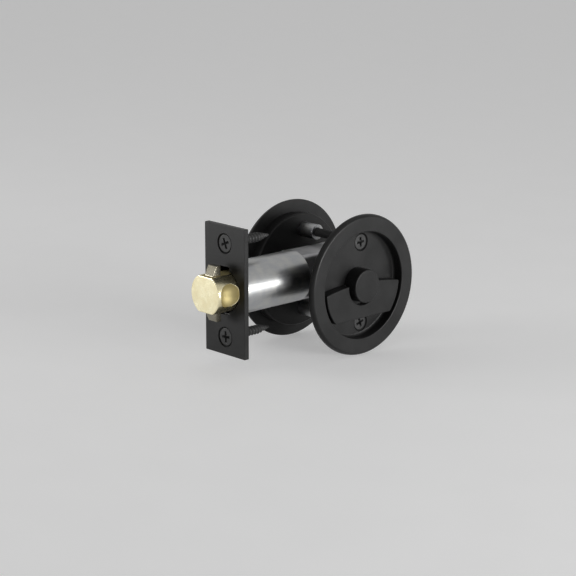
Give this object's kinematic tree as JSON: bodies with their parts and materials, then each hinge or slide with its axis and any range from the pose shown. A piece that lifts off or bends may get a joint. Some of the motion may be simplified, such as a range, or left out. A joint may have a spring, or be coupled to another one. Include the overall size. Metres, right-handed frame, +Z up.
{
  "type": "pocket door lock",
  "caption": "Pocket door privacy lock with round recessed cups, a half-round turn, an emergency release and an edge latch whose brass bolt spreads steel dogs.",
  "frame": {"origin": "on the bolt's axis, at the back of the faceplate where it seats on the panel's edge", "axes": "+X into the panel along the bolt, -Y towards the side with the turn, +Z up"},
  "size_m": [0.1033, 0.0515, 0.0639],
  "materials": {
    "black": "satin black",
    "black_screw": "satin black",
    "brass": "bright machined brass",
    "dog_steel": "plated steel",
    "zinc_plate": "zinc plated",
    "cast_zinc": "as cast",
    "bush_brass": "turned",
    "plain_steel": "plain",
    "spring_steel": "oiled"
  },
  "bodies": {
    "lock_body": {"inside_cup": "black", "outside_cup": "black", "screw_posts": "zinc_plate", "cup_screws": "black_screw", "faceplate": "black", "faceplate_screws": "black_screw", "latch_tube": "zinc_plate", "bolt_guide": "bush_brass", "rear_case": "cast_zinc", "case_cover": "zinc_plate", "cover_screws": "zinc_plate"},
    "turn": {"turn_piece": "black", "turn_washer": "plain_steel", "turn_clip": "spring_steel", "spindle": "plain_steel", "crank": "cast_zinc", "crank_pins": "plain_steel", "release": "black", "release_washer": "plain_steel", "release_clip": "spring_steel"},
    "bolt": {"bolt": "brass", "bolt_tail": "zinc_plate", "tail_pins": "plain_steel"},
    "rod": {"dog_rod": "zinc_plate"},
    "upper_dog": {"dog_upper": "dog_steel", "dog_upper_pin": "plain_steel"},
    "lower_dog": {"dog_lower": "dog_steel", "dog_lower_pin": "plain_steel"}
  },
  "joints": [
    {"name": "turn_hinge", "type": "hinge", "parent": "lock_body", "child": "turn", "pos_m": [0.05792, 0, -0.0036], "axis": [0, 1, 0], "range_deg": [0, 90]},
    {"name": "bolt_slide", "type": "slide", "parent": "lock_body", "child": "bolt", "axis": [1, 0, 0], "range_m": [0, 0.0112]},
    {"name": "rod_slide", "type": "slide", "parent": "bolt", "child": "rod", "axis": [1, 0, 0], "range_m": [0, 0.00225]},
    {"name": "upper_dog_slide", "type": "slide", "parent": "bolt", "child": "upper_dog", "axis": [0, 0, -1], "range_m": [0, 0.0045]},
    {"name": "lower_dog_slide", "type": "slide", "parent": "bolt", "child": "lower_dog", "axis": [0, 0, 1], "range_m": [0, 0.0045]}
  ],
  "couplings": [
    {"joint": "bolt_slide", "follows": "turn_hinge", "m_per_rad": 0.0071301},
    {"joint": "rod_slide", "follows": "turn_hinge", "m_per_rad": 0.0014324},
    {"joint": "upper_dog_slide", "follows": "turn_hinge", "m_per_rad": 0.0028648},
    {"joint": "lower_dog_slide", "follows": "turn_hinge", "m_per_rad": 0.0028648}
  ]
}
